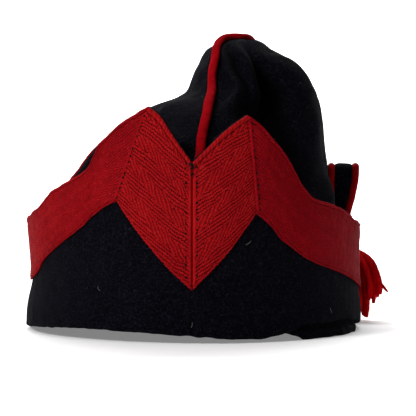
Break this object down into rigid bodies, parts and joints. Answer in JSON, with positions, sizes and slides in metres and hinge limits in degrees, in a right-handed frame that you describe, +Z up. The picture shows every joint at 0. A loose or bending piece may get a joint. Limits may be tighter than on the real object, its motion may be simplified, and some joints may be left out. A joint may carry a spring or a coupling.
{
  "type": "side cap",
  "caption": "Soft navy wool side cap with a tall gathered crown, a turn-up with two peaks edged in red lace, red piping and a hanging tassel.",
  "frame": {"origin": "centre of the head opening, in the plane that the cap stands on", "axes": "+Z up through the crown, -Y towards the front seam between the two peaks, +X towards the side with the tassel"},
  "size_m": [0.1856, 0.1948, 0.1517],
  "materials": {
    "navy_wool": "napped wool felt, nearly black",
    "red_lace": "worsted herringbone lace",
    "red_piping": "cord covered in wool cloth",
    "tassel_yarn": "loose dark red yarn"
  },
  "bodies": {
    "root": {"turban": "navy_wool", "inner_band": "navy_wool", "crown": "navy_wool", "tail": "navy_wool", "strip": "navy_wool", "lace_left": "red_lace", "lace_right": "red_lace", "front_piping": "red_piping", "rear_piping": "red_piping", "tail_piping": "red_piping", "strip_piping_inner": "red_piping", "strip_piping_outer": "red_piping", "tassel": "tassel_yarn"}
  },
  "joints": []
}
